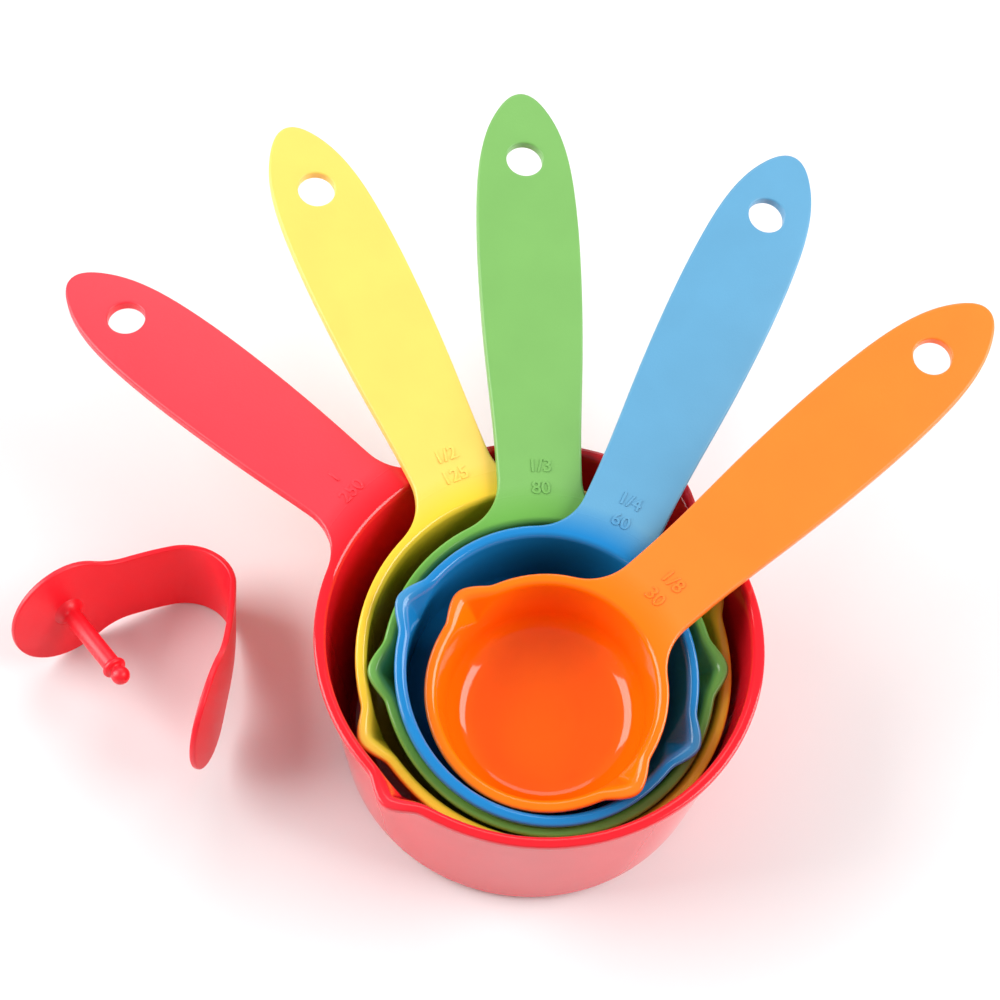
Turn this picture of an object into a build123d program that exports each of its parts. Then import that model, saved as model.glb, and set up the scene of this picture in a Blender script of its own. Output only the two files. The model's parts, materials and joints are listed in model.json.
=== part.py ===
from build123d import *
import math
import os

# Five nesting measuring cups, fanned out inside the largest one, and the clip that holds them.
#
# Frame: millimetres, +Z up, origin at the centre of the largest cup's base, on the table.
# Each cup is drawn in its own frame, with the rim's centre at the origin, the rim's top face at
# z = 0 and the handle along +X, and is then set down where it rests.
# The clip is drawn in its own frame too, with the pin along +Y and the strap's width along Z.

os.makedirs("parts", exist_ok=True)

# ---- shared by all five cups ----
WALL = 1.5              # wall and floor thickness
RIM_WIDTH = 2.4         # flat rim, from the mouth to the outer edge
RIM_THICK = 2.0
DRAFT = 6.0             # the wall's slope from vertical, in degrees
RIM_ROUND = 0.5         # rounding on the rim's and the handle's edges
MOUTH_CHAMFER = 0.4

HOLE_RADIUS = 4.15
HANDLE_THICK = 2.6
TIP_REACH = 17.1        # hang hole to handle tip
NECK_FLARE = 12.0       # radius where the handle runs into the rim
RISE_START = 58.0       # distance from the cup's centre at which the handle starts to rise
HANDLE_RISE = 1.9       # rise of the handle's top face at the hang hole

# Half the handle's width at distances from the hang hole, negative towards the cup.
HANDLE_HALF_WIDTHS = (
    (-100, 9.2),
    (-70, 9.3),
    (-50, 10.6),
    (-28, 11.5),
    (-10, 11.2),
    (5.2, 9.0),
    (12.5, 5.8),
)

LIP_APEX = 3.4          # how far each of the two pouring lips would stand out if it ended in a point
LIP_HALF = 6.4          # half the lip's width at the rim
LIP_DROP = 8.0          # how far down the wall the lip's bulge runs
LIP_NOSE_ROUND = 3.0
LIP_FLARE = 3.5         # radius where the lip leaves the rim
POCKET_SKIN = 2.4       # material outside the lip's pocket
POCKET_DROP = 6.5       # how far down the inside the pocket runs

# Each cup: rim radius, inside depth, floor corner radius, reach from the cup's centre to its hang
# hole, where the rim's centre is, how far the cup's axis leans and towards which azimuth, and the
# handle's azimuth.
CUPS = {
    "red_cup_250ml": (46.6, 45.0, 1.5, 118.2, (0.0, 0.0, 46.5), 0.0, 0.0, 146.2),
    "yellow_cup_125ml": (39.7, 31.6, 2.0, 118.2, (1.94, -3.12, 40.38), 10.71, -53.57, 122.1),
    "green_cup_80ml": (34.8, 26.8, 2.5, 118.2, (2.97, -5.66, 41.82), 11.5, -61.73, 98.9),
    "blue_cup_60ml": (31.7, 24.6, 4.0, 118.2, (2.54, -7.94, 45.0), 12.82, -58.46, 71.4),
    "orange_cup_30ml": (25.0, 20.5, 6.0, 110.9, (2.39, -11.86, 44.63), 11.58, -103.14, 46.75),
}

# ---- clip ----
STRAP_THICK = 1.4
STRAP_HALF = 9.3
LEAF_FLARE = 14.0       # radius where each round end runs into the strap
PIN_DISC_RADIUS = 13.6
PIN_LEAF_LENGTH = 24.9  # pin to the start of the bend, along the strap
PIN_LEAF_ARC = 83.0     # the strap is nowhere quite straight: it curls gently towards the pin
BEND_ARC = 11.0
BEND_LENGTH = 20.5
HINGE_AT = 0.77         # where the flexing line lies, as a share of the bend's length
NOTCH_ANGLE = 43.0      # room on the inside of the flexing line for the tail to close
TAIL_DISC_RADIUS = 13.0
TAIL_LEAF_LENGTH = 28.8
TAIL_LEAF_ARC = 111.0
SOCKET_RADIUS = 2.9
SOCKET_DEPTH = 0.9      # a shallow recess for the pin's ball, closed on the outside
PIN_RADIUS = 2.05
PIN_FOOT_RADIUS = 3.0
PIN_FOOT_HEIGHT = 2.4
COLLAR_RADIUS = 2.65
COLLAR_LENGTH = 1.4
COLLAR_ROUND = 0.5
COLLAR_AT = 20.2        # pin's foot to the middle of the collar
BALL_AT = 22.4
PIN_NECK_RADIUS = 1.54  # between the collar and the ball
BALL_RADIUS = 2.05
CLIP_CENTRE = (-104.4, 9.9, 13.55)
CLIP_ALONG = (0.736, 0.651, -0.184)     # from the pin towards the bend
CLIP_DOWN = (-0.021, -0.249, -0.968)    # down the strap's width

CUT = 60                # reach of the tools that cut through everything
NEAR = 0.01             # how close two points are when they count as the same
FROM_FOOT = (Align.CENTER, Align.CENTER, Align.MIN)


def inner_radius(rim_radius, z):
    """Radius of the cup's inside at height z, which is negative below the rim."""
    return rim_radius - RIM_WIDTH + z * math.tan(math.radians(DRAFT))


def turned(outline):
    """Solid of revolution from an outline of (radius, z) points."""
    face = make_face(Polyline(*[(r, 0, z) for r, z in outline], close=True))
    return revolve(face, Axis.Z)


def lowest_edge(solid):
    return solid.edges().sort_by(Axis.Z)[0]


def cup_shell_blank(rim_radius, depth, floor_round):
    """The cup's outside below the rim, without its cavity."""
    start = -RIM_THICK / 2
    top = inner_radius(rim_radius, start) + WALL
    foot = inner_radius(rim_radius, -depth) + WALL
    blank = turned([(0, start), (top, start), (foot, -depth - WALL), (0, -depth - WALL)])
    return fillet(lowest_edge(blank), floor_round + WALL)


def cavity(rim_radius, depth, floor_round):
    """The space inside the cup, with the mouth's small chamfer."""
    mouth = inner_radius(rim_radius, 0)
    bottom = inner_radius(rim_radius, -depth)
    above = 4.0
    space = turned([(0, above), (mouth, above), (mouth, 0), (bottom, -depth), (0, -depth)])
    space = fillet(lowest_edge(space), floor_round)
    high = 0.1
    low = -MOUTH_CHAMFER - 1
    cone = turned([(0, high), (mouth + MOUTH_CHAMFER + high, high), (mouth - 1, low), (0, low)])
    return space + cone


def handle_face(reach):
    """The handle's flat outline, from inside the cup to its round tip."""
    points = [(reach + along, half) for along, half in HANDLE_HALF_WIDTHS]
    tip = (reach + TIP_REACH, 0)
    edge = Spline(*points, tip, tangents=((1, 0), (0, -1)))
    other = mirror(edge, about=Plane.XZ)
    root = Line(other @ 0, edge @ 0)
    return make_face(Curve() + [edge, other, root])


def lip_triangle(tip, half, base):
    return make_face(Polyline((-half, base, 0), (half, base, 0), (0, tip, 0), close=True))


def both_sides(shape):
    """A shape on the cup's +Y side together with its mirror image on the -Y side."""
    return shape + mirror(shape, about=Plane.XZ)


def rim_and_handle_outline(rim_radius, reach):
    """Flat outline of the rim, its two pouring lips and the handle, as one face."""
    outline = Circle(rim_radius) + handle_face(reach)
    necks = []
    for vertex in outline.vertices():
        on_rim = abs(math.hypot(vertex.X, vertex.Y) - rim_radius) < NEAR
        if on_rim and vertex.X > 0 and abs(vertex.Y) > NEAR:
            necks.append(vertex)
    outline = fillet(necks, NECK_FLARE)
    lip_base = math.sqrt(rim_radius**2 - LIP_HALF**2)
    outline += both_sides(lip_triangle(rim_radius + LIP_APEX, LIP_HALF, lip_base))
    noses = [v for v in outline.vertices() if abs(v.X) < NEAR]
    outline = fillet(noses, LIP_NOSE_ROUND)
    roots = []
    for vertex in outline.vertices():
        if abs(abs(vertex.X) - LIP_HALF) < NEAR and abs(abs(vertex.Y) - lip_base) < NEAR:
            roots.append(vertex)
    return fillet(roots, LIP_FLARE)


def side_band(rim_radius, reach):
    """The rim and handle seen from the side: flat over the cup, then rising gently to the tip."""
    start = -rim_radius - 10
    middle = (RISE_START + reach) / 2
    end = reach + TIP_REACH + 5    # both ends lie beyond the part
    mid_rise = HANDLE_RISE * 0.68
    end_rise = HANDLE_RISE * 0.95
    slope = 0.01
    below = HANDLE_THICK
    step_out = rim_radius + 1.2
    step_in = rim_radius - 0.5
    top_flat = Line((start, 0), (RISE_START, 0))
    top_points = [(RISE_START, 0), (middle, mid_rise), (reach, HANDLE_RISE), (end, end_rise)]
    top_rise = Spline(*top_points, tangents=((1, 0), (1, -slope)))
    cap = Line((end, end_rise), (end, end_rise - below))
    low_points = [(x, z - below) for x, z in reversed(top_points[1:])] + [(RISE_START + 2, -below)]
    low = Spline(*low_points, tangents=((-1, slope), (-1, 0)))
    neck = Line(low @ 1, (step_out, -below))
    step = Line((step_out, -below), (step_in, -RIM_THICK))
    low_flat = Line((step_in, -RIM_THICK), (start, -RIM_THICK))
    close = Line((start, -RIM_THICK), (start, 0))
    face = make_face(Curve() + [top_flat, top_rise, cap, low, neck, step, low_flat, close])
    return extrude(Plane.XZ * face, amount=CUT, both=True)


def round_plate(plate, outline):
    """Rounds the long edges around the rim and handle, top and bottom."""
    border = outline.face().outer_wire()
    edges = ShapeList()
    for edge in plate.edges():
        middle = edge.position_at(0.5)
        on_border = border.distance_to(Vertex(middle.X, middle.Y, 0)) < NEAR
        if on_border and abs(edge.tangent_at(0.5).Z) < 0.3:
            edges.append(edge)
    return fillet(edges, RIM_ROUND)


def lip_bulge(rim_radius):
    """The lips' outside below the rim: wedges that fade into the wall."""
    inset = 0.6             # keeps the wedge inside the rim's rounded lip
    foot_half = 1.5
    foot_depth = 1.0
    top_tip = rim_radius + LIP_APEX - 2 * inset
    low_tip = inner_radius(rim_radius, -LIP_DROP) + WALL - 0.1
    top = lip_triangle(top_tip, LIP_HALF - inset, inner_radius(rim_radius, 0))
    bottom = Pos(0, 0, -LIP_DROP) * lip_triangle(low_tip, foot_half, low_tip - foot_depth)
    return both_sides(loft([Pos(0, 0, -RIM_THICK / 2) * top, bottom]))


def lip_pocket(rim_radius):
    """The shallow pockets inside the pouring lips."""
    side_skin = 1.2
    foot_half = 1.0
    back = 2.0              # how far each wedge reaches back into the open bowl
    above = 0.5
    top_tip = rim_radius + LIP_APEX - POCKET_SKIN
    low_tip = inner_radius(rim_radius, -POCKET_DROP) + 0.2
    top = lip_triangle(top_tip, LIP_HALF - side_skin, inner_radius(rim_radius, 0) - back)
    bottom = Pos(0, 0, -POCKET_DROP) * lip_triangle(low_tip, foot_half, low_tip - back)
    return both_sides(loft([Pos(0, 0, above) * top, bottom]))


def measuring_cup(rim_radius, depth, floor_round, reach):
    outline = rim_and_handle_outline(rim_radius, reach)
    plate = extrude(outline, amount=CUT, both=True) & side_band(rim_radius, reach)
    cup = round_plate(plate, outline) + cup_shell_blank(rim_radius, depth, floor_round)
    cup += lip_bulge(rim_radius)
    cup -= cavity(rim_radius, depth, floor_round)
    cup -= lip_pocket(rim_radius)
    return cup - Pos(reach, 0, 0) * Cylinder(HOLE_RADIUS, CUT)


def strap_paths():
    """The strap's centre line in two runs: pin's end to flexing line, and on to the tail's end."""

    def arc(before, radius, length):
        turn = math.degrees(length / radius)
        return JernArc(start=before @ 1, tangent=before % 1, radius=radius, arc_size=turn)

    end = Line((-PIN_DISC_RADIUS - 1, 0), (0, 0))
    leaf = arc(end, PIN_LEAF_ARC, PIN_LEAF_LENGTH)
    bend = arc(leaf, BEND_ARC, BEND_LENGTH * HINGE_AT)
    rest_of_bend = arc(bend, BEND_ARC, BEND_LENGTH * (1 - HINGE_AT))
    tail = arc(rest_of_bend, TAIL_LEAF_ARC, TAIL_LEAF_LENGTH)
    tail_end = arc(tail, TAIL_LEAF_ARC, TAIL_DISC_RADIUS + 1)
    return [end, leaf, bend], [rest_of_bend, tail, tail_end]


def leaf_outline(disc_radius):
    """A round end running into a straight strap, drawn flat, as a solid to cut the strap with."""
    strap = Pos(CUT / 2, 0) * Rectangle(CUT, 2 * STRAP_HALF)
    outline = Circle(disc_radius) + strap
    corners = [v for v in outline.vertices() if 0 < v.X < CUT - 1 and abs(v.Y) > 1]
    outline = fillet(corners, LEAF_FLARE)
    return extrude(outline, amount=CUT, both=True)


def strap_solid(path):
    return extrude(trace(Curve() + path, STRAP_THICK), amount=2 * STRAP_HALF, both=True)


def notch(path_to_hinge):
    """A wedge of room along the flexing line, widening towards the inside of the bend."""
    reach = 6               # well past the strap's inner face
    last = path_to_hinge[-1]
    heading = last % 1
    inward = Vector(-heading.Y, heading.X, 0)
    point = last @ 1 - inward * (STRAP_THICK / 2 + 0.3)
    half = math.tan(math.radians(NOTCH_ANGLE / 2)) * reach
    far = point + inward * reach
    wedge = make_face(Polyline(point, far + heading * half, far - heading * half, close=True))
    return extrude(wedge, amount=2 * STRAP_HALF, both=True)


def pin():
    """The pin with its foot, collar and ball, standing along +Y on the middle of the disc."""
    shaft = Cylinder(PIN_RADIUS, COLLAR_AT, align=FROM_FOOT)
    foot = Cone(PIN_FOOT_RADIUS, PIN_RADIUS, PIN_FOOT_HEIGHT, align=FROM_FOOT)
    collar = Pos(0, 0, COLLAR_AT) * fillet(Cylinder(COLLAR_RADIUS, COLLAR_LENGTH).edges(), COLLAR_ROUND)
    neck = Pos(0, 0, COLLAR_AT) * Cylinder(PIN_NECK_RADIUS, BALL_AT - COLLAR_AT, align=FROM_FOOT)
    ball = Pos(0, 0, BALL_AT) * Sphere(BALL_RADIUS)
    return Rotation(-90, 0, 0) * (shaft + foot + collar + neck + ball)


def clip_leaves():
    """The clip's two halves, which meet at the flexing line: the pin's leaf and the tail's leaf."""
    pin_path, tail_path = strap_paths()
    room = notch(pin_path)
    pin_leaf = strap_solid(pin_path) & Rotation(90, 0, 0) * leaf_outline(PIN_DISC_RADIUS)
    pin_leaf = pin_leaf - room + pin()
    tail_middle = tail_path[1]
    back = tail_middle % 1 * -1
    tail_plane = Plane(origin=tail_middle @ 1, x_dir=back, z_dir=Vector(back.Y, -back.X, 0))
    tail_leaf = strap_solid(tail_path) & tail_plane * leaf_outline(TAIL_DISC_RADIUS)
    socket_floor = Pos(0, 0, STRAP_THICK / 2 - SOCKET_DEPTH)
    socket = socket_floor * Cylinder(SOCKET_RADIUS, STRAP_THICK, align=FROM_FOOT)
    tail_leaf = tail_leaf - room - tail_plane * socket
    return pin_leaf, tail_leaf


for name, (rim_radius, depth, floor_round, reach, centre, lean, lean_to, handle_to) in CUPS.items():
    tilt_axis = math.radians(lean_to + 90)
    tilt = Location((0, 0, 0), (math.cos(tilt_axis), math.sin(tilt_axis), 0), lean)
    place = Pos(*centre) * tilt * Rotation(0, 0, handle_to)
    export_step(place * measuring_cup(rim_radius, depth, floor_round, reach), f"parts/{name}.step")

clip_plane = Plane(origin=CLIP_CENTRE, x_dir=CLIP_ALONG, z_dir=CLIP_DOWN)
for name, leaf in zip(("clip_pin_leaf", "clip_tail_leaf"), clip_leaves()):
    export_step(clip_plane * leaf, f"parts/{name}.step")
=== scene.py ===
"""Looks for five nesting measuring cups and the flexible clip that holds them.

Each cup is drawn in its own frame, in millimetres: the rim's centre at the origin, the rim's top
face at z = 0, the handle along +X and the pouring lips at +Y and -Y. It is then carried to where
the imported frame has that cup. The clip is drawn flat, as distance along the strap and distance
across it, and is then wrapped around its curved centre line.
"""

import json
import math

import bmesh
import bpy
import numpy as np
from mathutils import Matrix, Vector


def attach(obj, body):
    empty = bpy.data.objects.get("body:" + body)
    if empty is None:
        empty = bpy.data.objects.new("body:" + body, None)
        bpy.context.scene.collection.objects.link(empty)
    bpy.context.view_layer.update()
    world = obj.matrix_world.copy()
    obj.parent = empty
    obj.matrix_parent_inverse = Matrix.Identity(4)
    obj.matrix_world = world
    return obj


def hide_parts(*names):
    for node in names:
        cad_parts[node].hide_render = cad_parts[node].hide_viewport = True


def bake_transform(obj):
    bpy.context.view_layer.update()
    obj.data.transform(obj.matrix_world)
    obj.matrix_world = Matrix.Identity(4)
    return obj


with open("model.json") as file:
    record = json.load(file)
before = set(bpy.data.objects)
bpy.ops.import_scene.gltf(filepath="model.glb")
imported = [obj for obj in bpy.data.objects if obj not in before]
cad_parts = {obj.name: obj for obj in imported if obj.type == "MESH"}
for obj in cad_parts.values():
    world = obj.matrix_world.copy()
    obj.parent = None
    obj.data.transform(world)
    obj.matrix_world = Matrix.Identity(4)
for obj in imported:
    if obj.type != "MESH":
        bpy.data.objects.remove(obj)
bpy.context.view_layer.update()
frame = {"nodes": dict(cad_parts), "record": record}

MM = 0.001

# ---- cups, in millimetres ----
WALL = 1.5
RIM_WIDTH = 2.4
RIM_THICK = 2.0
DRAFT = math.radians(6.0)
EDGE_ROUND = 0.6         # rolled edge around the rim and the handle
MOUTH_PLATEAU = 1.35     # flat part of the rim, from its outer edge
MOUTH_ROLL = 1.3         # how far down the rim's inner edge rolls into the bowl
BASE_RECESS = 0.35       # depth of the shallow dish under the foot
FOOT_LAND = 3.2          # width of the foot's flat ring

HOLE_RADIUS = 4.15
HOLE_ROUND = 0.45
HANDLE_THICK = 2.6
TIP_REACH = 17.1         # hang hole to handle tip
NECK_FLARE = 12.0
RISE_START = 46.6        # distance from the cup's centre at which the handle starts to rise
RISE_SPAN = 70.0
RISE_SLOPE = 3.57        # the rise over one span, if it stayed as steep as at its start
RISE_DROOP = 1.67        # what the levelling off takes away over one span
HANDLE_CROWN = 0.25      # the handle's top face is slightly domed across its width
HANDLE_HALF = 11.5       # half the handle's greatest width
THICKEN_OVER = 3.0       # length over which the rim's thickness becomes the handle's
# Half the handle's width at distances from the hang hole, negative towards the cup.
HANDLE_HALF_WIDTHS = (
    (-100, 9.2),
    (-70, 9.3),
    (-50, 10.6),
    (-28, 11.5),
    (-10, 11.2),
    (5.2, 9.0),
    (12.5, 5.8),
)

LIP_OUT = 3.0            # how far a pouring lip stands out of the rim
LIP_HALF = 6.4           # half the lip's width
LIP_DROP = 7.0           # how far down the outside the lip fades
LIP_BELOW = 0.72         # the lip's size just below the rim, as a share of its size on the rim
POCKET_DROP = 7.5        # how far down the inside the lip fades
PAST_LIP = 0.6           # the fine rows of the walls end this far below the lips
# The lip's nose and its flares, as shares of its half width, on the rim's outer and inner edges.
OUTER_NOSE, OUTER_FLARE = 0.36, 0.07
INNER_NOSE, INNER_FLARE = 0.10, 0.14

# Each cup: its CAD node, rim radius, inside depth, floor corner radius, reach to the hang hole
# and its two marks.
CUPS = {
    "red": ("red_cup_250ml", 46.6, 45.0, 1.5, 118.2, ("1", "250")),
    "yellow": ("yellow_cup_125ml", 39.7, 31.6, 2.0, 118.2, ("1/2", "125")),
    "green": ("green_cup_80ml", 34.8, 26.8, 2.5, 118.2, ("1/3", "80")),
    "blue": ("blue_cup_60ml", 31.7, 24.6, 4.0, 118.2, ("1/4", "60")),
    "orange": ("orange_cup_30ml", 25.0, 20.5, 6.0, 110.9, ("1/8", "30")),
}

# ---- how finely the surfaces are divided ----
ACROSS = 20              # cells across a handle
HOLE_CELLS = 12          # cells across the square that holds the hang hole
HOLE_BLOCK = 6.0         # half the length of that square, in millimetres
LIP_STEP = 0.42          # along the rim beside a lip
LIP_MARGIN = 4.5         # how far that fine stretch goes past the lip
RIM_STEP = 2.0           # along the rest of the rim
WALL_STEP = 2.5          # down the walls below the lips
HANDLE_STEP = 1.1        # along the handle
NECK_ROWS = 16           # rows over which the handle's grid straightens from the rim's curve
TIP_ROWS = 11            # rows over which it bends to the tip's curve


# ---- general mesh tools ----
def keep_own_place(mesh, points):
    """Stores millimetre coordinates on a mesh, which its material's patterns follow."""
    own = mesh.attributes.new("own_place", "FLOAT_VECTOR", "POINT")
    own.data.foreach_set("vector", np.array(points, float).ravel())


class MeshMaker:
    """Collects points and faces for one watertight surface."""

    def __init__(self):
        self.points = []
        self.faces = []

    def add(self, points):
        """Adds points and returns their numbers."""
        first = len(self.points)
        self.points.extend(tuple(float(c) for c in p) for p in points)
        return list(range(first, len(self.points)))

    def band(self, one, two, closed=True):
        """Quads between two rows of points."""
        count = len(one) if closed else len(one) - 1
        for i in range(count):
            j = (i + 1) % len(one)
            self.faces.append((one[i], one[j], two[j], two[i]))

    def fan(self, ring, centre):
        """Triangles between a closed ring and one point."""
        for i in range(len(ring)):
            self.faces.append((ring[i], ring[(i + 1) % len(ring)], centre))

    def build(self, name, matrix, material):
        """An object in the row frame. Each point also keeps its place in the piece's own frame."""
        mesh = bpy.data.meshes.new(name)
        mesh.from_pydata([matrix @ (Vector(p) * MM) for p in self.points], [], self.faces)
        keep_own_place(mesh, self.points)
        tidy = bmesh.new()
        tidy.from_mesh(mesh)
        bmesh.ops.recalc_face_normals(tidy, faces=tidy.faces)
        tidy.to_mesh(mesh)
        tidy.free()
        mesh.polygons.foreach_set("use_smooth", [True] * len(mesh.polygons))
        piece = bpy.data.objects.new(name, mesh)
        bpy.context.scene.collection.objects.link(piece)
        piece.data.materials.append(material)
        weighted = piece.modifiers.new("even_shading", "WEIGHTED_NORMAL")
        weighted.keep_sharp = False
        weighted.weight = 60
        return piece


def weld(mesh, distance):
    """Joins points that lie closer together than a distance, so that a surface has no gaps."""
    welded = bmesh.new()
    welded.from_mesh(mesh)
    bmesh.ops.remove_doubles(welded, verts=welded.verts, dist=distance)
    bmesh.ops.dissolve_degenerate(welded, edges=welded.edges, dist=distance)
    bmesh.ops.recalc_face_normals(welded, faces=welded.faces)
    welded.to_mesh(mesh)
    welded.free()


def smooth_curve(points, start_heading, end_heading, count):
    """Many points along the smooth curve through a few points, with a heading at each end."""
    points = np.array(points, float)
    steps = np.linalg.norm(np.diff(points, axis=0), axis=1)
    knots = np.concatenate([[0], np.cumsum(steps)])
    last = len(points) - 1
    matrix = np.zeros((last + 1, last + 1))
    wanted = np.zeros((last + 1, 2))
    matrix[0, 0] = matrix[last, last] = 1
    wanted[0] = start_heading
    wanted[last] = end_heading
    for i in range(1, last):
        before, after = 1 / steps[i - 1], 1 / steps[i]
        matrix[i, i - 1 : i + 2] = before, 2 * (before + after), after
        wanted[i] = 3 * ((points[i] - points[i - 1]) * before**2 + (points[i + 1] - points[i]) * after**2)
    headings = np.linalg.solve(matrix, wanted)
    along = np.linspace(0, knots[-1], count)
    span = np.clip(np.searchsorted(knots, along, side="right") - 1, 0, last - 1)
    h = steps[span][:, None]
    t = ((along - knots[span]) / steps[span])[:, None]
    return (
        (2 * t**3 - 3 * t**2 + 1) * points[span]
        + (t**3 - 2 * t**2 + t) * h * headings[span]
        + (3 * t**2 - 2 * t**3) * points[span + 1]
        + (t**3 - t**2) * h * headings[span + 1]
    )


def path_length(path):
    return np.linalg.norm(np.diff(path, axis=0), axis=1).sum()


def even_steps(path, count):
    """A path's points again, at count even steps along it."""
    steps = np.linalg.norm(np.diff(path, axis=0), axis=1)
    along = np.concatenate([[0], np.cumsum(steps)])
    distances = np.linspace(0, along[-1], count + 1)
    return np.stack([np.interp(distances, along, path[:, k]) for k in range(path.shape[1])], axis=1)


def smooth_step(t):
    t = np.clip(t, 0, 1)
    return t * t * (3 - 2 * t)


def inward_normals(loop):
    """Unit normals of a closed anticlockwise loop of plan points, pointing inwards."""
    ahead = np.roll(loop, -1, axis=0) - loop
    behind = loop - np.roll(loop, 1, axis=0)
    ahead /= np.linalg.norm(ahead, axis=1)[:, None]
    behind /= np.linalg.norm(behind, axis=1)[:, None]
    heading = ahead + behind
    heading /= np.linalg.norm(heading, axis=1)[:, None]
    return np.stack([-heading[:, 1], heading[:, 0]], axis=1)


def edge_profile(radius):
    """Steps around a rolled edge: (inset from the outline, depth as (near top, near bottom))."""
    steps = []
    for k in range(5):
        turn = math.pi / 2 * k / 4
        steps.append((radius * (1 - math.sin(turn)), radius * (1 - math.cos(turn)), 0))
    for k in range(5):
        turn = math.pi / 2 * k / 4
        steps.append((radius * (1 - math.cos(turn)), -radius * (1 - math.sin(turn)), 1))
    return steps


def rolled_edge(mesh, outline, normals, thickness, place, radius):
    """The edge around a plate, from its top face to its bottom face. Returns its rings of points."""
    rings = []
    for inset, offset, from_bottom in edge_profile(radius):
        plan = outline + normals * inset
        depth = offset + from_bottom * thickness
        rings.append(mesh.add(place(plan, depth)))
    for one, two in zip(rings, rings[1:]):
        mesh.band(one, two)
    return rings


def fill_rows(right, left, first_row, last_row, fade_first, fade_last):
    """Plan points that fill a plate between its two long edges and its two end rows."""
    rows = []
    u = np.linspace(0, 1, len(last_row))[:, None]
    first_bulge = first_row - (right[0] * (1 - u) + left[0] * u)
    last_bulge = last_row - (right[-1] * (1 - u) + left[-1] * u)
    for i in range(len(right)):
        straight = right[i] * (1 - u) + left[i] * u
        rows.append(straight + first_bulge * fade_first[i] + last_bulge * fade_last[i])
    return np.array(rows)


def plate_face(mesh, plan, depth, place, borders, hole=None):
    """One face of a plate as a grid. borders holds point numbers already made, by (row, column)."""
    rows, columns = plan.shape[:2]
    numbers = -np.ones((rows, columns), int)
    for (i, j), number in borders.items():
        numbers[i, j] = number
    skip = hole["inside"] if hole else set()
    for i in range(rows):
        for j in range(columns):
            if numbers[i, j] < 0 and (i, j) not in skip:
                numbers[i, j] = mesh.add(place(plan[i, j][None, :], depth[i]))[0]
    for i in range(rows - 1):
        for j in range(columns - 1):
            corners = (numbers[i, j], numbers[i, j + 1], numbers[i + 1, j + 1], numbers[i + 1, j])
            if hole and hole["row"] <= i < hole["row"] + hole["cells"]:
                if hole["column"] <= j < hole["column"] + hole["cells"]:
                    continue
            mesh.faces.append(tuple(int(c) for c in corners))
    return numbers


def hole_block(row, column, cells):
    """The square of cells that a round hole takes the place of."""
    rim = [(row, column + k) for k in range(cells)]
    rim += [(row + k, column + cells) for k in range(cells)]
    rim += [(row + cells, column + cells - k) for k in range(cells)]
    rim += [(row + cells - k, column) for k in range(cells)]
    inside = {(i, j) for i in range(row + 1, row + cells) for j in range(column + 1, column + cells)}
    return {"row": row, "column": column, "cells": cells, "rim": rim, "inside": inside}


def hole_rings(mesh, plan, numbers, hole, centre, radius, depth_at, place):
    """Rings from the square's border to the round hole's edge. Returns the last one."""
    border = np.array([plan[i, j] for i, j in hole["rim"]])
    ring = [int(numbers[i, j]) for i, j in hole["rim"]]
    towards = border - centre
    angles = np.arctan2(towards[:, 1], towards[:, 0])
    start = math.atan2(towards[0, 1], towards[0, 0])
    turning = math.copysign(1, (angles[1] - angles[0] + math.pi) % (2 * math.pi) - math.pi)
    even = start + turning * np.linspace(0, 2 * math.pi, len(border), endpoint=False)
    circle = centre + radius * np.stack([np.cos(even), np.sin(even)], axis=1)
    for share in (0.4, 0.75, 1.0):
        points = border * (1 - share) + circle * share
        following = mesh.add(place(points, depth_at))
        mesh.band(ring, following)
        ring = following
    return ring, even


def drill(mesh, plan, top_numbers, bottom_numbers, hole, centre, radius, rounding, thickness, place):
    """A round hole with softened edges between a plate's two faces."""
    outer = radius + rounding
    ring, turns = hole_rings(mesh, plan, top_numbers, hole, centre, outer, 0.0, place)
    bottom, turns = hole_rings(mesh, plan, bottom_numbers, hole, centre, outer, thickness, place)
    direction = np.stack([np.cos(turns), np.sin(turns)], axis=1)
    quarter = np.linspace(0, math.pi / 2, 5)
    steps = [(outer - rounding * math.sin(t), rounding * (1 - math.cos(t))) for t in quarter[1:]]
    for turn in quarter[:-1]:
        steps.append((outer - rounding * math.cos(turn), thickness - rounding * (1 - math.sin(turn))))
    for reach, depth in steps:
        following = mesh.add(place(centre + direction * reach, depth))
        mesh.band(ring, following)
        ring = following
    mesh.band(ring, bottom)


def recess(mesh, plan, numbers, hole, centre, radius, rounding, face_depth, floor_depth, place):
    """A shallow round recess with a softened edge, sunk into a plate's far face."""
    outer = radius + rounding
    ring, turns = hole_rings(mesh, plan, numbers, hole, centre, outer, face_depth, place)
    direction = np.stack([np.cos(turns), np.sin(turns)], axis=1)
    quarter = np.linspace(0, math.pi / 2, 4)[1:]
    steps = [(outer - rounding * math.sin(t), face_depth - rounding * (1 - math.cos(t))) for t in quarter]
    steps += [(radius, floor_depth + 0.15), (radius - 0.15, floor_depth), (radius / 2, floor_depth)]
    for reach, depth in steps:
        following = mesh.add(place(centre + direction * reach, depth))
        mesh.band(ring, following)
        ring = following
    mesh.fan(ring, mesh.add(place(centre[None, :], floor_depth))[0])


# ---- the cups' shape ----
def inner_radius(rim_radius, z):
    return rim_radius - RIM_WIDTH + z * math.tan(DRAFT)


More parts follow.
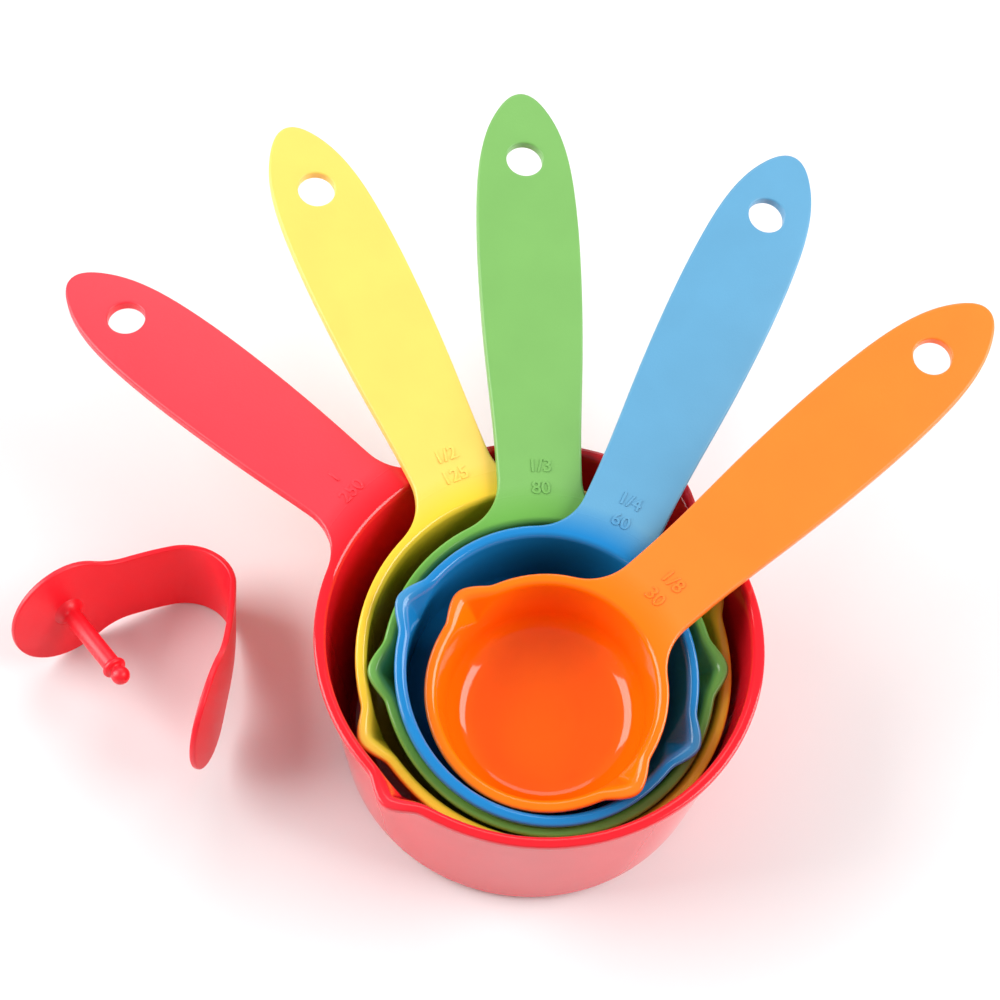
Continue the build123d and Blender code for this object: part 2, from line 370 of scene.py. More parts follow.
def lip_bump(across, share, inside=0.0):
    """How far a pouring lip stands out at distances across it.

    share is the lip's size, 1 on the rim. inside is 0 on the rim's outer edge, 1 on its inner edge.
    """
    if share <= 0:
        return np.zeros_like(across)
    u = np.abs(across) / LIP_HALF
    nose = (OUTER_NOSE + (INNER_NOSE - OUTER_NOSE) * inside) * share
    flare = (OUTER_FLARE + (INNER_FLARE - OUTER_FLARE) * inside) * share
    tent = share - np.sqrt(u**2 + nose**2)
    peak = share - nose
    rounded = (tent + np.sqrt(tent**2 + 4 * flare**2)) / 2
    top = (peak + math.sqrt(peak**2 + 4 * flare**2)) / 2
    return rounded * share / top * LIP_OUT


def cup_columns(rim_radius, neck_angle):
    """Directions around the cup, close together at the lips. The first ones span the handle's neck."""
    zone = (LIP_HALF + LIP_MARGIN) / rim_radius
    neck = np.linspace(-neck_angle, neck_angle, ACROSS + 1)

    def spread(start, end, step):
        count = max(3, round((end - start) * rim_radius / step))
        return np.linspace(start, end, count + 1)[1:]

    half = np.concatenate([
        spread(neck_angle, math.pi / 2 - zone, RIM_STEP),
        spread(math.pi / 2 - zone, math.pi / 2 + zone, LIP_STEP),
        spread(math.pi / 2 + zone, math.pi, RIM_STEP),
    ])
    other = 2 * math.pi - half[:-1][::-1]
    return np.concatenate([neck, half, other])


def handle_edge(hole_reach):
    """The handle's edge on the +Y side, from inside the cup to the tip."""
    points = [(hole_reach + along, half) for along, half in HANDLE_HALF_WIDTHS]
    points.append((hole_reach + TIP_REACH, 0))
    return smooth_curve(points, (1, 0), (0, -1), 1200)


def neck_flare(rim_radius, edge):
    """The arc from the rim to the handle's edge, and the number of the edge point where it ends."""
    heading = np.gradient(edge, axis=0)
    heading /= np.linalg.norm(heading, axis=1)[:, None]
    offset = edge + NECK_FLARE * np.stack([-heading[:, 1], heading[:, 0]], axis=1)
    reach = np.linalg.norm(offset, axis=1) - (rim_radius + NECK_FLARE)
    first = int(np.argmax(reach > 0))
    centre = offset[first]
    on_rim = math.atan2(-centre[1], -centre[0])
    on_edge = math.atan2(*(edge[first] - centre)[::-1])
    turn = np.linspace(on_rim, on_edge, 40)
    arc = centre + NECK_FLARE * np.stack([np.cos(turn), np.sin(turn)], axis=1)
    return arc, first


def handle_top(x, y):
    """Height of the handle's top face, which rises gently and levels off."""
    t = np.maximum(x - RISE_START, 0) / RISE_SPAN
    rise = RISE_SLOPE * t - RISE_DROOP * t**2
    across = np.asarray(y) / HANDLE_HALF
    crown_starts_over = 20.0
    crown = HANDLE_CROWN * (1 - across**2) * smooth_step((x - RISE_START) / crown_starts_over)
    return rise + crown


def cup_mesh(rim_radius, depth, floor_round, hole_reach):
    mesh = MeshMaker()
    edge = handle_edge(hole_reach)
    arc, first = neck_flare(rim_radius, edge)
    neck_angle = math.atan2(arc[0][1], arc[0][0])
    columns = cup_columns(rim_radius, neck_angle)
    direction = np.stack([np.cos(columns), np.sin(columns)], axis=1)
    across_lip = np.minimum(np.abs(columns - math.pi / 2), np.abs(columns - 3 * math.pi / 2)) * rim_radius

    # The handle's edge as rows: the flare and shaft, the stretch beside the hole, and the end.
    tip_start = int(np.argmax(edge[:, 0] > hole_reach + HANDLE_HALF_WIDTHS[-1][0]))
    block_start = int(np.argmax(edge[:, 0] > hole_reach - HOLE_BLOCK))
    block_end = int(np.argmax(edge[:, 0] > hole_reach + HOLE_BLOCK))
    shaft = np.concatenate([arc, edge[first + 1 : block_start + 1]])
    shaft_rows = round(path_length(shaft) / HANDLE_STEP)
    left = np.concatenate([
        even_steps(shaft, shaft_rows),
        even_steps(edge[block_start : block_end + 1], HOLE_CELLS)[1:],
        even_steps(edge[block_end : tip_start + 1], 7)[1:],
    ])
    tip_left = even_steps(edge[tip_start:], ACROSS // 2)
    flip = np.array([1, -1])
    tip_row = np.concatenate([tip_left * flip, tip_left[:-1][::-1]])
    rows = len(left)

    # One closed outline: around the rim, out along the handle's -Y edge, around its tip and back.
    rim_edge = direction * (rim_radius + lip_bump(across_lip, 1.0))[:, None]
    around_rim = list(range(ACROSS, len(columns))) + [0]
    outline = np.concatenate([rim_edge[around_rim], left[1:] * flip, tip_row[1:-1], left[1:][::-1]])
    normals = inward_normals(outline)
    stretch = (outline[:, 0] - rim_radius) / THICKEN_OVER
    on_handle = np.arange(len(outline)) >= len(around_rim)
    thickness = RIM_THICK + (HANDLE_THICK - RIM_THICK) * smooth_step(stretch) * on_handle

    def place(plan, depth):
        plan = np.asarray(plan, float)
        return np.column_stack([plan, handle_top(plan[:, 0], plan[:, 1]) - depth])

    rings = rolled_edge(mesh, outline, normals, thickness, place, EDGE_ROUND)
    inset = outline + normals * EDGE_ROUND

    # Borders of the handle's grid, as places on the outline.
    corner = len(around_rim) - 1
    right_ids = [corner + i for i in range(rows)]
    tip_ids = [corner + rows - 1 + j for j in range(ACROSS + 1)]
    left_ids = [0] + [len(outline) - i for i in range(1, rows)]
    first_row = direction[: ACROSS + 1] * (rim_radius - EDGE_ROUND)
    row_number = np.arange(rows)
    fade_first = 1 - smooth_step(row_number / NECK_ROWS)
    fade_last = smooth_step((row_number - (rows - 1 - TIP_ROWS)) / TIP_ROWS)
    plan = fill_rows(inset[right_ids], inset[left_ids], first_row, inset[tip_ids], fade_first, fade_last)
    hole = hole_block(shaft_rows, (ACROSS - HOLE_CELLS) // 2, HOLE_CELLS)
    stretch = (plan[:, ACROSS // 2, 0] - rim_radius) / THICKEN_OVER
    row_thickness = RIM_THICK + (HANDLE_THICK - RIM_THICK) * smooth_step(stretch)
    faces = []
    for ring, depths in ((rings[0], row_thickness * 0), (rings[-1], row_thickness)):
        borders = {(i, 0): ring[k] for i, k in enumerate(right_ids)}
        borders.update({(i, ACROSS): ring[k] for i, k in enumerate(left_ids)})
        borders.update({(rows - 1, j): ring[k] for j, k in enumerate(tip_ids)})
        faces.append(plate_face(mesh, plan, depths, place, borders, hole))
    centre = np.array([hole_reach, 0.0])
    drill(mesh, plan, faces[0], faces[1], hole, centre, HOLE_RADIUS, HOLE_ROUND, HANDLE_THICK, place)

    def loop(radius, z):
        radius = np.broadcast_to(radius, columns.shape)
        return mesh.add(np.column_stack([direction * radius[:, None], np.full(len(columns), z)]))

    def around(ring, numbers):
        """The rim's closed loop of points, through the handle's first row at the neck."""
        neck = [int(n) for n in numbers[0]]
        return neck + [ring[k] for k in range(1, len(around_rim) - 1)]

    def run(start, loops):
        """Joins a loop to each following one."""
        for following in loops:
            mesh.band(start, following)
            start = following
        return start

    def lip_share(z, top, drop):
        return float(np.clip(1 + (z - top) / drop, 0, 1))

    def levels(start, lip_end, wall_end):
        """Heights down the wall, close together beside the lips."""
        below = max(3, round((lip_end - wall_end) / WALL_STEP))
        return [*np.linspace(start, lip_end, 12), *np.linspace(lip_end, wall_end, below + 1)[1:-1]]

    # Top of the rim, rolling over into the mouth and down the inside.
    rim_out = rim_radius + lip_bump(across_lip, 1.0)
    rim_middle = rim_radius + lip_bump(across_lip, 1.0, 0.5)
    top_loops = [loop(rim_out - EDGE_ROUND - 0.22, 0), loop(rim_middle - MOUTH_PLATEAU, 0)]
    for k in range(1, 7):
        turn = math.pi / 2 * k / 6
        out = MOUTH_PLATEAU + (RIM_WIDTH - MOUTH_PLATEAU) * math.sin(turn)
        z = -MOUTH_ROLL * (1 - math.cos(turn))
        bump = lip_bump(across_lip, lip_share(z, 0, POCKET_DROP), 0.5 + 0.5 * k / 6)
        drafted = z * math.tan(DRAFT) * math.sin(turn)
        top_loops.append(loop(rim_radius + bump - out + drafted, z))
    floor_corner = -depth + floor_round
    wall_end = floor_corner - floor_round * math.sin(DRAFT)
    pocket_end = -POCKET_DROP - PAST_LIP
    for z in levels(-MOUTH_ROLL - 0.7, pocket_end, wall_end):
        bump = lip_bump(across_lip, lip_share(z, 0, POCKET_DROP), 1.0)
        top_loops.append(loop(inner_radius(rim_radius, z) + bump, z))
    corner_x = inner_radius(rim_radius, wall_end) - floor_round * math.cos(DRAFT)
    for turn in np.linspace(DRAFT, math.pi / 2, 15):
        z = floor_corner - floor_round * math.sin(turn)
        top_loops.append(loop(corner_x + floor_round * math.cos(turn), z))
    for radius, sink in floor_rings(corner_x):
        top_loops.append(loop(radius, -depth - sink))
    last = run(around(rings[0], faces[0]), top_loops)
    mesh.fan(last, mesh.add([(0, 0, -depth)])[0])

    # Underside of the rim, the outside and the foot.
    def outer_radius(z):
        return inner_radius(rim_radius, z) + WALL

    low_loops = [loop(rim_out - EDGE_ROUND - 0.15, -RIM_THICK)]
    blend = 0.5
    for turn in np.linspace(0, math.pi / 2, 4):
        z = -RIM_THICK - blend * (1 - math.cos(turn))
        bump = lip_bump(across_lip, LIP_BELOW * lip_share(z, -RIM_THICK, LIP_DROP))
        radius = outer_radius(z) + bump + blend * (1 - math.sin(turn)) * 0.4
        low_loops.append(loop(radius, z))
    foot = -depth - WALL
    base_round = floor_round + WALL
    base_corner = foot + base_round
    base_wall_end = base_corner - base_round * math.sin(DRAFT)
    lip_end = -RIM_THICK - LIP_DROP - PAST_LIP
    for z in levels(-RIM_THICK - 1.1, lip_end, base_wall_end):
        bump = lip_bump(across_lip, LIP_BELOW * lip_share(z, -RIM_THICK, LIP_DROP))
        low_loops.append(loop(outer_radius(z) + bump, z))
    foot_x = outer_radius(base_wall_end) - base_round * math.cos(DRAFT)
    for turn in np.linspace(DRAFT, math.pi / 2, 9):
        z = base_corner - base_round * math.sin(turn)
        low_loops.append(loop(foot_x + base_round * math.cos(turn), z))
    land = foot_x - FOOT_LAND
    step_width = 1.1
    for t in np.linspace(0, 1, 5):
        low_loops.append(loop(land - step_width * t, foot + BASE_RECESS * smooth_step(t)))
    low_loops.append(loop(land - 2.5, foot + BASE_RECESS))
    for radius, z in gate_mark(foot + BASE_RECESS):
        low_loops.append(loop(radius, z))
    last = run(around(rings[-1], faces[1]), low_loops)
    mesh.fan(last, mesh.add([(0, 0, foot + BASE_RECESS - 0.22)])[0])
    return mesh


def floor_rings(edge):
    """Faint moulding rings in the bowl's floor: (radius, how far it sinks)."""
    rings = []
    for radius in np.linspace(edge, 0.0, 34)[1:-1]:
        inner_ring = 0.05 * math.exp(-(((radius - 4.2) / 0.5) ** 2))
        outer_ring = 0.04 * math.exp(-(((radius - 0.55 * edge) / 0.6) ** 2))
        rings.append((radius, inner_ring + outer_ring))
    return rings


def gate_mark(z):
    """The small round mark that moulding leaves in the middle of the foot."""
    ring = [(6.0, z), (3.4, z), (3.1, z - 0.08), (2.8, z - 0.08), (2.5, z)]
    dimple = [(1.5, z), (1.2, z - 0.18), (0.6, z - 0.22)]
    return ring + dimple


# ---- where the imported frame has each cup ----
def cup_frame(body, node, rim_radius):
    """Matrix from a cup's own frame, in metres, to the row frame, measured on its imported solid."""
    mount = next(m for m in frame["record"]["mounts"] if m["name"] == f"{body}_hang_hole")
    up = Vector(mount["axis"]).normalized()
    hole = Vector(mount["pos_m"])
    points = np.array([v.co for v in frame["nodes"][node].data.vertices])
    level = points @ np.array(up)
    foot = points[level < level.min() + 0.05 * MM]
    flat = foot - np.outer(foot @ np.array(up), np.array(up))
    across = Vector((1, 0, 0)) - up * up.x
    across.normalize()
    side = up.cross(across)
    a, b = flat @ np.array(across), flat @ np.array(side)
    fit = np.linalg.lstsq(np.column_stack([2 * a, 2 * b, np.ones(len(a))]), a**2 + b**2, rcond=None)[0]
    axis_point = across * fit[0] + side * fit[1]
    reach = np.linalg.norm(points - np.outer(level, np.array(up)) - np.array(axis_point), axis=1)
    rim_level = level[reach < rim_radius * MM].max()
    centre = axis_point + up * float(rim_level)
    along = hole - centre
    along = (along - up * along.dot(up)).normalized()
    turned = Matrix((along, up.cross(along), up)).transposed().to_4x4()
    return Matrix.Translation(centre) @ turned


# ---- materials ----
BOWL_ROUGHNESS = 0.07
HANDLE_ROUGHNESS = 0.38
GRAIN_STRENGTH = 0.5
NO_BOWL = -10.0          # the clip has no polished bowl, so all of it is satin

# Each colour twice: deep and clear in the polished bowl, paler where the surface is grained; that paleness is
# painted sheen, a lit copy of the same plastic.
COLOURS = {
    "red": ((0.82, 0.012, 0.022), (0.90, 0.035, 0.055)),
    "yellow": ((0.93, 0.60, 0.04), (0.95, 0.63, 0.12)),
    "green": ((0.15, 0.41, 0.07), (0.19, 0.44, 0.11)),
    "blue": ((0.010, 0.21, 0.53), (0.11, 0.34, 0.55)),
    "orange": ((1.0, 0.18, 0.002), (1.0, 0.215, 0.018)),
    "clip": ((0.94, 0.010, 0.025), (0.94, 0.010, 0.025)),
}


def plastic(name, bowl_colour, sheen_pale_handle_colour, bowl_radius):
    """Moulded plastic: polished inside and around the bowl, less glossy and finely grained beyond it, where
    its colour is paler as painted sheen.
    """
    material = bpy.data.materials.new(name)
    material.use_nodes = True
    nodes = material.node_tree.nodes
    link = material.node_tree.links.new
    shader = nodes["Principled BSDF"]

    own_place = nodes.new("ShaderNodeAttribute")
    own_place.attribute_name = "own_place"
    flat = nodes.new("ShaderNodeVectorMath")
    flat.operation = "MULTIPLY"
    flat.inputs[1].default_value = (1, 1, 0)
    link(own_place.outputs["Vector"], flat.inputs[0])
    reach = nodes.new("ShaderNodeVectorMath")
    reach.operation = "LENGTH"
    link(flat.outputs["Vector"], reach.inputs[0])
    # 0 in and around the bowl, 1 on the handle: sets the roughness and grain, and also fades in the painted
    # sheen colour.
    satin_and_sheen = nodes.new("ShaderNodeMapRange")
    satin_and_sheen.inputs["From Min"].default_value = bowl_radius - 1.0
    satin_and_sheen.inputs["From Max"].default_value = bowl_radius + 6.0
    link(reach.outputs["Value"], satin_and_sheen.inputs["Value"])

    rough = nodes.new("ShaderNodeMapRange")
    rough.inputs["To Min"].default_value = BOWL_ROUGHNESS
    rough.inputs["To Max"].default_value = HANDLE_ROUGHNESS
    link(satin_and_sheen.outputs["Result"], rough.inputs["Value"])
    link(rough.outputs["Result"], shader.inputs["Roughness"])

    # Painted sheen: beyond the bowl the colour turns to a paler, lit copy of the bowl's colour.
    colour = nodes.new("ShaderNodeMix")
    colour.data_type = "RGBA"
    factor, one, two = colour.inputs[0], colour.inputs[6], colour.inputs[7]
    one.default_value = (*bowl_colour, 1)
    two.default_value = (*sheen_pale_handle_colour, 1)
    link(satin_and_sheen.outputs["Result"], factor)
    clouds = nodes.new("ShaderNodeTexNoise")
    clouds.inputs["Scale"].default_value = 0.09
    clouds.inputs["Detail"].default_value = 2.0
    link(own_place.outputs["Vector"], clouds.inputs["Vector"])
    lightness = nodes.new("ShaderNodeMapRange")
    lightness.inputs["To Min"].default_value = 0.93
    lightness.inputs["To Max"].default_value = 1.05
    link(clouds.outputs["Fac"], lightness.inputs["Value"])
    shade = nodes.new("ShaderNodeHueSaturation")
    link(lightness.outputs["Result"], shade.inputs["Value"])
    link(colour.outputs[2], shade.inputs["Color"])
    link(shade.outputs["Color"], shader.inputs["Base Color"])

    grain = nodes.new("ShaderNodeTexNoise")
    grain.inputs["Scale"].default_value = 2.2
    grain.inputs["Detail"].default_value = 3.0
    link(own_place.outputs["Vector"], grain.inputs["Vector"])
    depth = nodes.new("ShaderNodeMath")
    depth.operation = "MULTIPLY"
    depth.inputs[1].default_value = GRAIN_STRENGTH
    link(satin_and_sheen.outputs["Result"], depth.inputs[0])
    bump = nodes.new("ShaderNodeBump")
    bump.inputs["Distance"].default_value = 0.05 * MM
    link(depth.outputs["Value"], bump.inputs["Strength"])
    link(grain.outputs["Fac"], bump.inputs["Height"])
    link(bump.outputs["Normal"], shader.inputs["Normal"])
    return material


materials = {}
for name, (bowl_colour, sheen_pale_handle_colour) in COLOURS.items():
    bowl_radius = CUPS[name][1] if name in CUPS else NO_BOWL
    materials[name] = plastic(f"{name}_plastic", bowl_colour, sheen_pale_handle_colour, bowl_radius)


# ---- numerals, in millimetres ----
MARK_SIZE = 4.1
MARK_LIFT = 0.10
MARK_ROUND = 0.05
MARK_SUNK = 0.02         # how far the numerals' undersides go below the handle's face
MARK_REACH = 10.0        # rim to the first line
MARK_SPACING = 5.0


def numerals(body, lines, rim_radius, matrix):
    """The raised capacity marks on the handle's neck, upright when the handle's tip is up."""
    for row, words in enumerate(lines):
        curve = bpy.data.curves.new(f"{body}_mark_{row + 1}", "FONT")
        curve.body = words
        curve.size = MARK_SIZE * MM
        curve.align_x = "CENTER"
        curve.align_y = "CENTER"
        curve.extrude = MARK_LIFT * MM
        curve.bevel_depth = MARK_ROUND * MM
        curve.bevel_resolution = 1
        text = bpy.data.objects.new(f"{body}_mark_text", curve)
        bpy.context.scene.collection.objects.link(text)
        bpy.context.view_layer.update()
        mesh = bpy.data.meshes.new_from_object(text.evaluated_get(bpy.context.evaluated_depsgraph_get()))
        bpy.data.objects.remove(text)
        weld(mesh, 0.0005 * MM)
        piece = bpy.data.objects.new(f"{body}_mark_{row + 1}", mesh)
        bpy.context.scene.collection.objects.link(piece)
        reach = rim_radius + MARK_REACH - MARK_SPACING * row
        height = float(handle_top(reach, 0.0)) + MARK_LIFT - MARK_SUNK
        spot = Matrix.Translation((reach * MM, 0, height * MM)) @ Matrix.Rotation(-math.pi / 2, 4, "Z")
        mesh.transform(spot)
        keep_own_place(mesh, [v.co / MM for v in mesh.vertices])
        mesh.transform(matrix)
        mesh.materials.clear()
        mesh.materials.append(materials[body])
        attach(piece, body)


for body, (node, rim_radius, depth, floor_round, hole_reach, marks) in CUPS.items():
    matrix = cup_frame(body, node, rim_radius)
    piece = cup_mesh(rim_radius, depth, floor_round, hole_reach).build(f"{body}_cup", matrix, materials[body])
    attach(piece, body)
    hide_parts(node)
    numerals(body, marks, rim_radius, matrix)

# ---- clip, in millimetres ----
STRAP_THICK = 1.4
STRAP_HALF = 9.3         # half the strap's width
STRAP_EDGE = 0.45        # rolled edge
LEAF_FLARE = 14.0        # radius where a round leaf runs into the strap
PIN_DISC_RADIUS = 13.6
TAIL_DISC_RADIUS = 13.0
# The centre line is three arcs, each with its length and radius: pin leaf, bend and tail leaf.
PIN_LEAF_LENGTH, PIN_LEAF_ARC = 24.9, 83.0
BEND_LENGTH, BEND_ARC = 20.5, 11.0
TAIL_LEAF_LENGTH, TAIL_LEAF_ARC = 28.8, 111.0
HINGE_AT = 0.77          # the flexing line's place along the bend, as a share of its length
SOCKET_RADIUS = 2.9
SOCKET_DEPTH = 0.9       # the recess for the pin's ball, open on the strap's inner face only
SOCKET_ROUND = 0.3
PIN_RADIUS = 2.05
PIN_FOOT_RADIUS = 3.8
PIN_FOOT_HEIGHT = 2.4
PIN_TAPER = 0.05         # how much thinner the shaft is at its far end
COLLAR_RADIUS = 2.65
COLLAR_HALF = 0.7        # half the collar's length
COLLAR_AT = 20.2         # strap's centre line to the collar
BALL_AT = 22.85          # strap's centre line to the ball's centre
BALL_RADIUS = 2.05
NECK_SHARE = 0.78        # how much of its radius the ball is cut back where it meets the neck
# The clip's own origin and two of its directions, in the row frame.
CLIP_CENTRE = (-104.4, 9.9, 13.55)
CLIP_ALONG = (0.736, 0.651, -0.184)
CLIP_DOWN = (-0.021, -0.249, -0.968)

CLIP_ACROSS = 24         # cells across the strap
SOCKET_CELLS = 8         # cells across the square that holds the socket
STRAP_STEP = 1.0         # along the strap
PIN_END_ROWS = 9         # rows over which the strap's grid straightens from the pin end's curve
TAIL_END_ROWS = 4        # rows over which it bends to the tail end's curve


def clip_frame():
    """Matrix from the clip's own frame, in metres, to the row frame."""
    down = Vector(CLIP_DOWN).normalized()
    along = Vector(CLIP_ALONG)
    along = (along - down * along.dot(down)).normalized()
    turned = Matrix((along, down.cross(along), down)).transposed().to_4x4()
    return Matrix.Translation(Vector(CLIP_CENTRE) * MM) @ turned


def strap_line(distance):
    """Place and heading of the strap's centre line at a distance from the pin, in the clip's own plane."""
    stretches = (
        (PIN_LEAF_LENGTH, PIN_LEAF_ARC),
        (BEND_LENGTH, BEND_ARC),
        (1000.0, TAIL_LEAF_ARC),
    )
    point = np.zeros(2)
    heading = 0.0
    left = distance
    if left < 0:
        return np.array([left, 0.0]), heading
    for length, radius in stretches:
        step = min(left, length)
        turn = step / radius
        centre = point + radius * np.array([-math.sin(heading), math.cos(heading)])
        heading += turn
        point = centre + radius * np.array([math.sin(heading), -math.cos(heading)])
        left -= step
        if left <= 0:
            break
    return point, heading


def strap_place(plan, depth):
    """Wraps flat strap points, (distance along, distance across), around the centre line."""
    depth = np.broadcast_to(depth, len(plan))
    places = []
    for (along, across), down in zip(plan, depth):
        point, heading = strap_line(along)
        outward = np.array([math.sin(heading), -math.cos(heading)])
        point = point + outward * (STRAP_THICK / 2 - down)
        places.append((point[0], point[1], across))
    return places


def disc_end(radius, tangent_share=0.62):
    """Half the edge of a round end running into the strap, from the end's tip row to the strap."""
    corner = math.sqrt((radius + LEAF_FLARE) ** 2 - (STRAP_HALF + LEAF_FLARE) ** 2)
    meet = math.atan2(STRAP_HALF + LEAF_FLARE, corner)
    start = math.pi * tangent_share
    disc = np.linspace(start, meet, 60)
    flare = np.linspace(meet + math.pi, 1.5 * math.pi, 40)
    centre = np.array([corner, STRAP_HALF + LEAF_FLARE])
    on_disc = radius * np.stack([np.cos(disc), np.sin(disc)], axis=1)
    on_flare = centre + LEAF_FLARE * np.stack([np.cos(flare), np.sin(flare)], axis=1)
    tip = np.linspace(2 * math.pi - start, start, CLIP_ACROSS + 1)
    tip_row = radius * np.stack([np.cos(tip), np.sin(tip)], axis=1)
    return np.concatenate([on_disc, on_flare[1:]]), tip_row


def strap_mesh():
    mesh = MeshMaker()
    length = PIN_LEAF_LENGTH + BEND_LENGTH + TAIL_LEAF_LENGTH
    pin_edge, pin_tip = disc_end(PIN_DISC_RADIUS)
    tail_edge, tail_tip = disc_end(TAIL_DISC_RADIUS)
    tail_edge = (np.array([length, 0]) - tail_edge * np.array([1, -1]))[::-1]
    tail_tip = np.array([length, 0]) - tail_tip * np.array([1, -1])
    block = SOCKET_CELLS / 2 * 2 * TAIL_DISC_RADIUS / CLIP_ACROSS
    block_start = int(np.argmax(tail_edge[:, 0] > length - block))
    block_end = int(np.argmax(tail_edge[:, 0] > length + block))
    middle = np.concatenate([pin_edge, tail_edge[: block_start + 1]])
    middle_rows = round(path_length(middle) / STRAP_STEP)
    near = tail_edge[block_start : block_end + 1]
    end = tail_edge[block_end:]
    left = np.concatenate([
        even_steps(middle, middle_rows),
        even_steps(near, SOCKET_CELLS)[1:],
        even_steps(end, 3)[1:],
    ])
    rows = len(left)
    flip = np.array([1, -1])
    outline = np.concatenate([left * flip, tail_tip[1:-1], left[::-1], pin_tip[1:-1][::-1]])
    normals = inward_normals(outline)

    rings = rolled_edge(mesh, outline, normals, STRAP_THICK, strap_place, STRAP_EDGE)
    inset = outline + normals * STRAP_EDGE
    right_ids = list(range(rows))
    tip_ids = [rows - 1 + j for j in range(CLIP_ACROSS + 1)]
    left_ids = [2 * rows + CLIP_ACROSS - 2 - i for i in range(rows)]
    back_ids = [0] + [len(outline) - j for j in range(1, CLIP_ACROSS)] + [left_ids[0]]
    row_number = np.arange(rows)
    fade_first = 1 - smooth_step(row_number / PIN_END_ROWS)
    fade_last = smooth_step((row_number - (rows - 1 - TAIL_END_ROWS)) / TAIL_END_ROWS)
    sides = inset[right_ids], inset[left_ids]
    ends = inset[back_ids], inset[tip_ids]
    plan = fill_rows(*sides, *ends, fade_first, fade_last)
    hole = hole_block(middle_rows, (CLIP_ACROSS - SOCKET_CELLS) // 2, SOCKET_CELLS)
    for ring, depth, cut in ((rings[0], 0.0, None), (rings[-1], STRAP_THICK, hole)):
        borders = {(i, 0): ring[k] for i, k in enumerate(right_ids)}
        borders.update({(i, CLIP_ACROSS): ring[k] for i, k in enumerate(left_ids)})
        borders.update({(rows - 1, j): ring[k] for j, k in enumerate(tip_ids)})
        borders.update({(0, j): ring[k] for j, k in enumerate(back_ids)})
        numbers = plate_face(mesh, plan, np.full(rows, depth), strap_place, borders, cut)
    centre = np.array([length, 0.0])
    floor = STRAP_THICK - SOCKET_DEPTH
    socket = SOCKET_RADIUS, SOCKET_ROUND
    recess(mesh, plan, numbers, hole, centre, *socket, STRAP_THICK, floor, strap_place)
    return mesh


def turned_mesh(profile, segments=40):
    """A closed turned shape along +Y from (distance along, radius) points, both ends on the axis."""
    mesh = MeshMaker()
    turn = np.linspace(0, 2 * math.pi, segments, endpoint=False)
    rings = []
    for along, radius in profile[1:-1]:
        rings.append(mesh.add([(radius * math.cos(t), along, radius * math.sin(t)) for t in turn]))
    for one, two in zip(rings, rings[1:]):
        mesh.band(one, two)
    mesh.fan(rings[0], mesh.add([(0, profile[0][0], 0)])[0])
    mesh.fan(rings[-1], mesh.add([(0, profile[-1][0], 0)])[0])
    return mesh


def pin_profile():
    """The pin: a flared foot, a shaft, a rounded collar, a short neck and a ball."""
    inside_strap = -0.3
    strap_face = 0.55
    points = [(inside_strap, 0), (inside_strap, PIN_FOOT_RADIUS + 0.2)]
    for t in np.linspace(0, 1, 9):
        flare = (PIN_FOOT_RADIUS - PIN_RADIUS) * (1 - t) ** 2.4
        points.append((strap_face + PIN_FOOT_HEIGHT * t, PIN_RADIUS + flare))
    shaft_end = COLLAR_AT - 1.0
    for t in np.linspace(0.3, 1, 4):
        points.append((shaft_end * t, PIN_RADIUS - PIN_TAPER * t))
    for turn in np.linspace(-math.pi / 2, math.pi / 2, 9):
        swell = (COLLAR_RADIUS - PIN_RADIUS) * math.cos(turn)
        points.append((COLLAR_AT + COLLAR_HALF * math.sin(turn), PIN_RADIUS + swell))
    neck = math.asin(NECK_SHARE)
    for turn in np.linspace(-neck, math.pi / 2, 12)[:-1]:
        points.append((BALL_AT + BALL_RADIUS * math.sin(turn), BALL_RADIUS * math.cos(turn)))
    points.append((BALL_AT + BALL_RADIUS, 0))
    return points


clip_matrix = clip_frame()
strap = strap_mesh().build("clip_strap", clip_matrix, materials["clip"])
pin = turned_mesh(pin_profile()).build("clip_pin_post", clip_matrix, materials["clip"])
hinge_heading = strap_line(PIN_LEAF_LENGTH + BEND_LENGTH * HINGE_AT)[1]
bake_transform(strap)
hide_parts("clip_pin_leaf", "clip_tail_leaf")
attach(pin, "clip_pin")


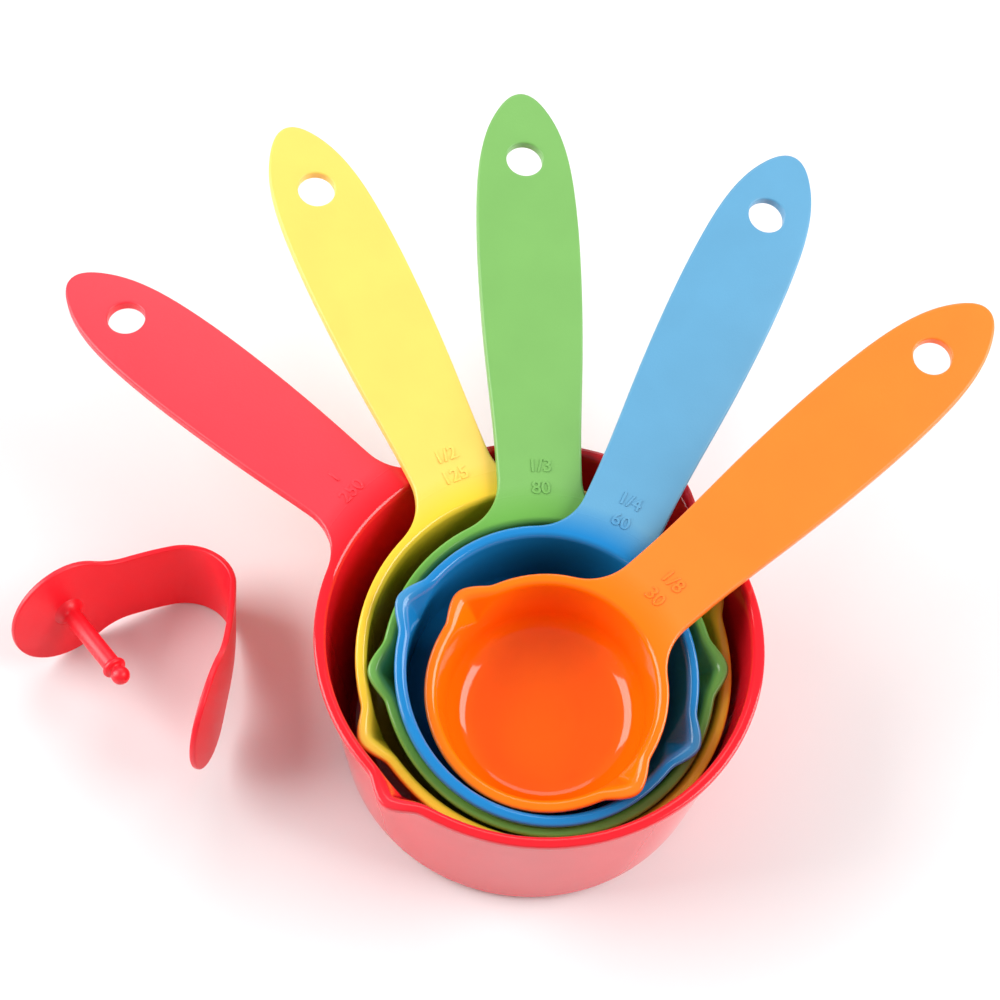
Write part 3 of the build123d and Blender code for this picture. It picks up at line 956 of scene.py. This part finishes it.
# ---- studio ----
def studio_floor():
    """A wide pale table with a faint cloudiness."""
    mesh = bpy.data.meshes.new("floor")
    half = 3.0
    just_below = -0.00005
    corners = [(-half, -half), (half, -half), (half, half), (-half, half)]
    mesh.from_pydata([(x, y, just_below) for x, y in corners], [], [(0, 1, 2, 3)])
    floor = bpy.data.objects.new("floor", mesh)
    bpy.context.scene.collection.objects.link(floor)
    material = bpy.data.materials.new("floor_paint")
    material.use_nodes = True
    nodes = material.node_tree.nodes
    link = material.node_tree.links.new
    shader = nodes["Principled BSDF"]
    shader.inputs["Roughness"].default_value = 0.6
    clouds = nodes.new("ShaderNodeTexNoise")
    clouds.inputs["Scale"].default_value = 3.0
    spot = nodes.new("ShaderNodeNewGeometry")
    link(spot.outputs["Position"], clouds.inputs["Vector"])
    tint = nodes.new("ShaderNodeMix")
    tint.data_type = "RGBA"
    tint.inputs[6].default_value = (0.80, 0.79, 0.795, 1)
    tint.inputs[7].default_value = (0.82, 0.815, 0.82, 1)
    link(clouds.outputs["Fac"], tint.inputs[0])
    link(tint.outputs[2], shader.inputs["Base Color"])
    mesh.materials.append(material)


def softbox(name, place, aim, size, power, colour=(1, 1, 1)):
    light = bpy.data.lights.new(name, "AREA")
    light.shape = "RECTANGLE"
    light.size, light.size_y = size
    light.energy = power
    light.color = colour
    lamp = bpy.data.objects.new(name, light)
    lamp.location = place
    lamp.rotation_euler = (Vector(aim) - Vector(place)).to_track_quat("-Z", "Y").to_euler()
    bpy.context.scene.collection.objects.link(lamp)


def camera():
    """Seen from in front and high up, with the camera tipped slightly to one side."""
    elevation = math.radians(59.12)
    roll = math.radians(6.26)
    distance = 0.48
    target = Vector((-0.01126, 0.05846, 0))
    ahead = Vector((0, math.cos(elevation), -math.sin(elevation)))
    up = Vector((0, math.sin(elevation), math.cos(elevation)))
    right = Vector((1, 0, 0))
    tipped_right = right * math.cos(roll) + up * math.sin(roll)
    tipped_up = up * math.cos(roll) - right * math.sin(roll)
    turned = Matrix((tipped_right, tipped_up, -ahead)).transposed().to_4x4()
    lens = bpy.data.cameras.new("camera")
    lens.sensor_width = 36
    lens.lens = 71.65
    eye = bpy.data.objects.new("camera", lens)
    eye.matrix_world = Matrix.Translation(target - ahead * distance) @ turned
    bpy.context.scene.collection.objects.link(eye)
    bpy.context.scene.camera = eye


def surroundings():
    world = bpy.data.worlds.new("studio")
    bpy.context.scene.world = world
    world.use_nodes = True
    world.node_tree.nodes["Background"].inputs["Color"].default_value = (1, 1, 1, 1)
    world.node_tree.nodes["Background"].inputs["Strength"].default_value = 0.28
    bpy.context.scene.view_settings.view_transform = "Standard"


studio_floor()
surroundings()
aim = (0.0, 0.03, 0.03)
softbox("left_softbox", (-0.75, 0.0, 0.50), aim, (0.60, 0.80), 9.5)
softbox("right_softbox", (0.75, 0.0, 0.50), aim, (0.60, 0.80), 9.5)
softbox("back_softbox", (-0.05, 0.95, 0.85), aim, (1.1, 0.6), 4)
camera()
